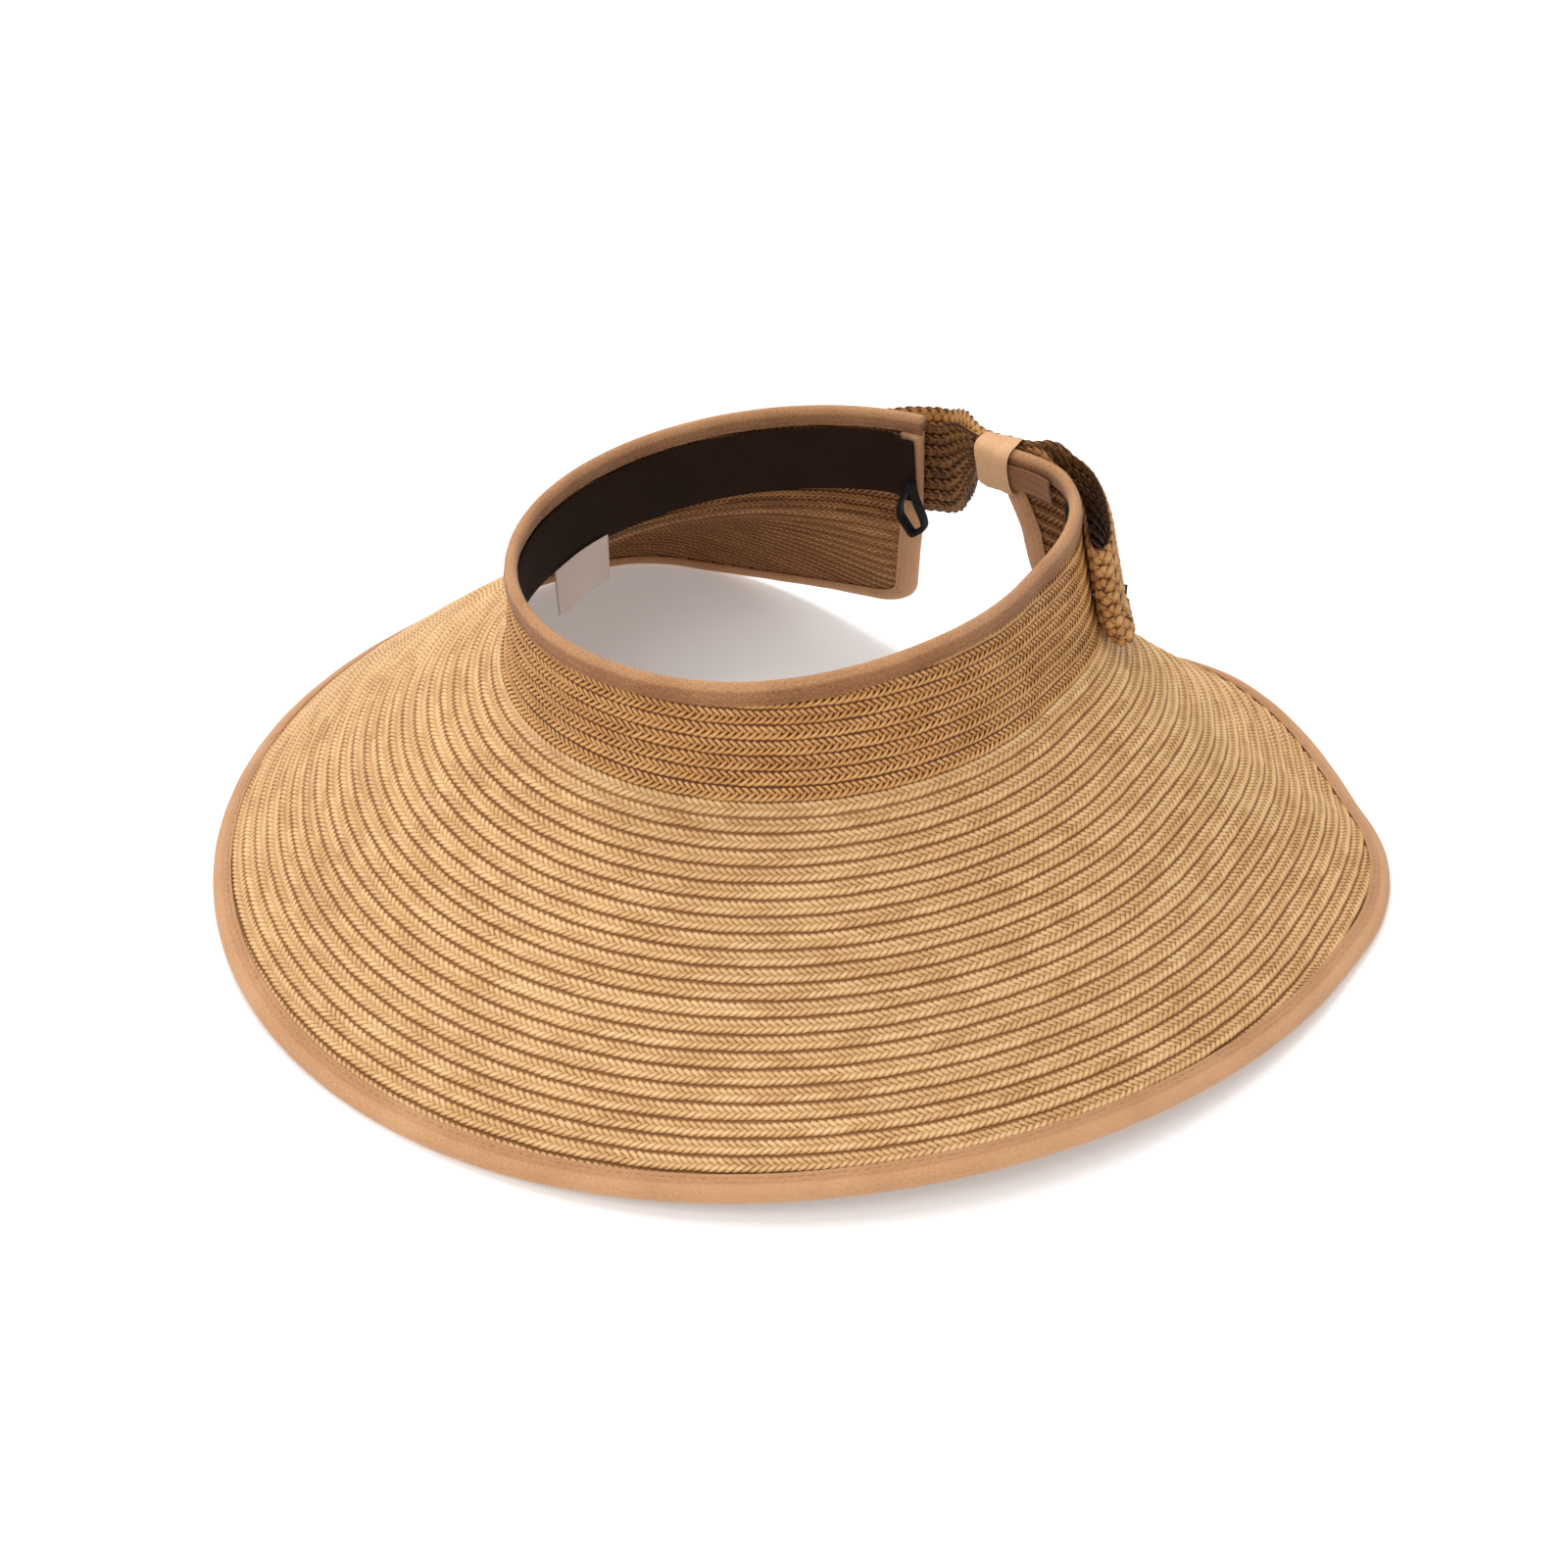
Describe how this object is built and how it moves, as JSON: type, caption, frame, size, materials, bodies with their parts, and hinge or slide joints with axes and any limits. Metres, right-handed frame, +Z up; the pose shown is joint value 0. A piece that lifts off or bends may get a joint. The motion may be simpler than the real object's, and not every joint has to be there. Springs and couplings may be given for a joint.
{
  "type": "sun visor",
  "caption": "Wide-brim open-crown sun visor of braided straw, with a bound wired brim, a soft sweatband and a bow at the back that closes the two ends.",
  "frame": {"origin": "under the middle of the whole visor's box, at the level of the surface it rests on", "axes": "+Z up, the wearer looks along -Y, +X is the wearer's left"},
  "size_m": [0.383, 0.3496, 0.1198],
  "materials": {
    "straw": "plaited paper straw, matt with a slight sheen",
    "binding": "woven tan tape",
    "boning": "round plastic boning, hidden in the binding",
    "sweatband": "dark brown soft cloth",
    "label": "pale woven satin label, blank",
    "elastic": "black flat elastic",
    "hook_and_loop": "tan hook-and-loop tape"
  },
  "bodies": {
    "shell": {"crown_band": "straw", "brim_panel": "straw", "crown_top_tape": "binding", "brim_edge_tape": "binding", "brim_wire": "boning", "sweatband": "sweatband", "loop_patch": "hook_and_loop", "bow_core": "straw", "bow_tab": "binding", "bow_knot": "binding"},
    "left_wing": {"bow_left_wing": "straw", "hook_patch": "hook_and_loop"},
    "right_wing": {"bow_right_wing": "straw"},
    "label": {"care_label": "label"},
    "hanging_loop": {"elastic_loop": "elastic"}
  },
  "joints": [
    {"name": "left_wing_peel", "type": "hinge", "parent": "shell", "child": "left_wing", "pos_m": [0.00435, 0.11627, 0.10977], "axis": [0, 0, -1], "range_deg": [0, 60], "stiffness_Nm_per_rad": 0.02},
    {"name": "right_wing_flex", "type": "hinge", "parent": "shell", "child": "right_wing", "pos_m": [0.01797, 0.11833, 0.11015], "axis": [0, 0, 1], "range_deg": [0, 40], "stiffness_Nm_per_rad": 0.02},
    {"name": "label_swing", "type": "hinge", "parent": "shell", "child": "label", "pos_m": [-0.08426, 0.00855, 0.08261], "axis": [0.135, -0.9908, 0], "range_deg": [0, 80]},
    {"name": "loop_swing", "type": "hinge", "parent": "shell", "child": "hanging_loop", "pos_m": [-0.02431, 0.1078, 0.0861], "axis": [-0.3162, 0.9487, 0], "range_deg": [-50, 50]}
  ]
}
